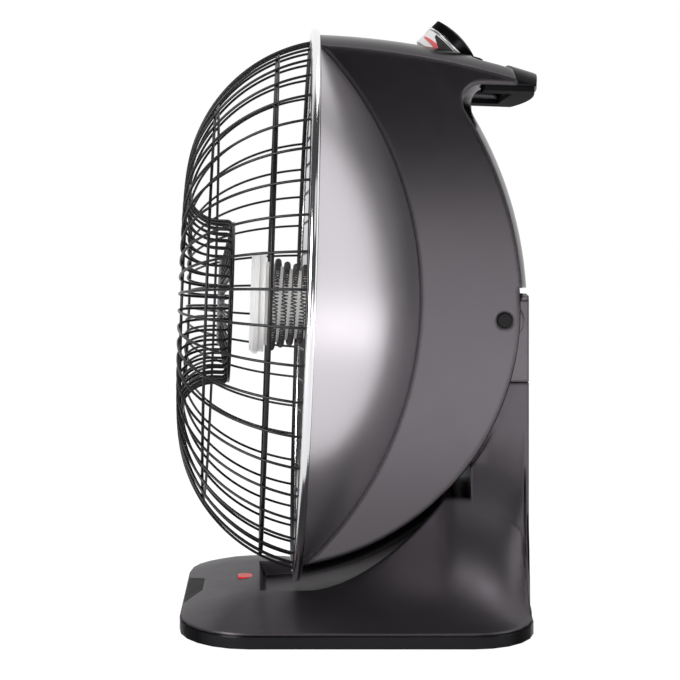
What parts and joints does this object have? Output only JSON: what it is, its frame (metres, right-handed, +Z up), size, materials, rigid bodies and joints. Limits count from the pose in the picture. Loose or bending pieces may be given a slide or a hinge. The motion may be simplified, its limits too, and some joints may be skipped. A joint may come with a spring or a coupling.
{
  "type": "parabolic heater",
  "caption": "Freestanding parabolic dish heater: domed wire guard, coiled element and polished reflector in a head that tilts on a flat base, with a handle and a thermostat dial on top.",
  "frame": {"origin": "on the floor, below the middle of the bounding box", "axes": "+Z up, the dish faces -Y, the tilt pivot runs along X"},
  "size_m": [0.4226, 0.2726, 0.45],
  "materials": {
    "guard_black": "satin black",
    "plate": "satin",
    "chrome": "polished",
    "reflector": "polished",
    "silver_paint": "satin silver",
    "ceramic": "white glaze, opaque",
    "heating_wire": "bright drawn wire",
    "brass": "plain",
    "steel": "zinc plated",
    "cutout": "plain",
    "charcoal": "satin charcoal",
    "black_gloss": "polished black",
    "scale_white": "satin white",
    "switch_case": "moulded",
    "pale_plastic": "moulded",
    "fibre": "pressed fibre",
    "black_rubber": "matt",
    "red_lens": "clear red",
    "lamp": "clear",
    "iron": "plain"
  },
  "bodies": {
    "base": {"pivot_pins": "steel", "pivot_caps": "black_gloss", "friction_washers": "fibre", "tower_cap": "charcoal", "base_shell": "charcoal", "base_tray": "black_gloss", "feet": "black_rubber", "footlight_lens": "red_lens", "footlight_lamp": "lamp", "front_inlay": "black_gloss", "tip_switch": "switch_case", "plunger_spring": "steel", "buzzer": "black_gloss", "ballast": "iron", "terminal_block": "pale_plastic", "cord_inlet": "black_rubber", "base_screws": "steel"},
    "head": {"guard_spokes": "guard_black", "guard_hoops": "guard_black", "guard_well_wires": "guard_black", "guard_floor_wires": "guard_black", "guard_well_ring": "guard_black", "guard_plate": "plate", "bezel_ring": "chrome", "reflector": "reflector", "dish_shell": "silver_paint", "element_cap": "ceramic", "element_former": "ceramic", "element_coil": "heating_wire", "element_terminals": "brass", "element_holder": "steel", "thermal_cutout": "cutout", "housing": "charcoal", "handle_grip": "black_gloss", "handle_cover": "black_gloss", "dial_scale": "scale_white", "thermostat": "switch_case"},
    "knob": {"knob_trim": "chrome", "thermostat_knob": "black_gloss", "knob_shaft": "steel"},
    "plunger": {"tip_plunger": "pale_plastic"}
  },
  "joints": [
    {"name": "head_tilt", "type": "hinge", "parent": "base", "child": "head", "pos_m": [0, 0.10679, 0.22147], "axis": [-1, 0, 0], "range_deg": [0, 18]},
    {"name": "thermostat_turn", "type": "hinge", "parent": "head", "child": "knob", "pos_m": [0, 0.06189, 0.42005], "axis": [0, 0.7071, 0.7071], "range_deg": [0, 270]},
    {"name": "tip_plunger", "type": "slide", "parent": "base", "child": "plunger", "axis": [0, 0, -1], "range_m": [0, 0.004], "stiffness_N_per_m": 300, "springref_m": 0.006, "deforming": ["plunger_spring"]}
  ]
}
